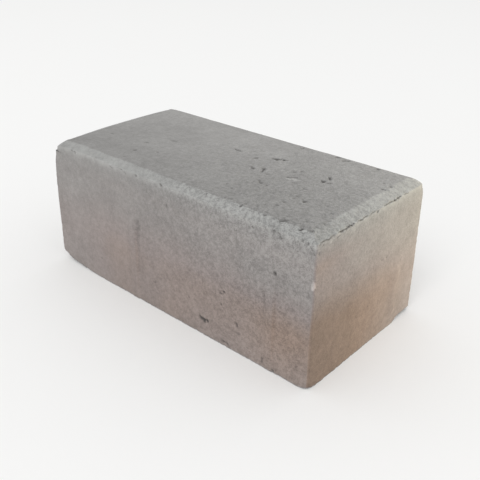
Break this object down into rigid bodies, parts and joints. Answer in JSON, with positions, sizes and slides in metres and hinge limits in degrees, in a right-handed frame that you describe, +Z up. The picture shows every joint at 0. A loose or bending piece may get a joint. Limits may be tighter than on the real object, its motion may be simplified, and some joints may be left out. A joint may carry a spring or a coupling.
{
  "type": "concrete paving block",
  "caption": "Rectangular grey concrete paving block with a chamfered wearing face and low upright spacer nibs on its sides.",
  "frame": {"origin": "middle of the bedding face, which is the flat underside", "axes": "+X along the block's length, +Y across its width, +Z up through its depth to the wearing face"},
  "size_m": [0.2, 0.1, 0.082],
  "materials": {
    "backing_concrete": "matte",
    "facing_concrete": "matte"
  },
  "bodies": {
    "root": {"backing_concrete": "backing_concrete", "facing_layer": "facing_concrete"}
  },
  "joints": []
}
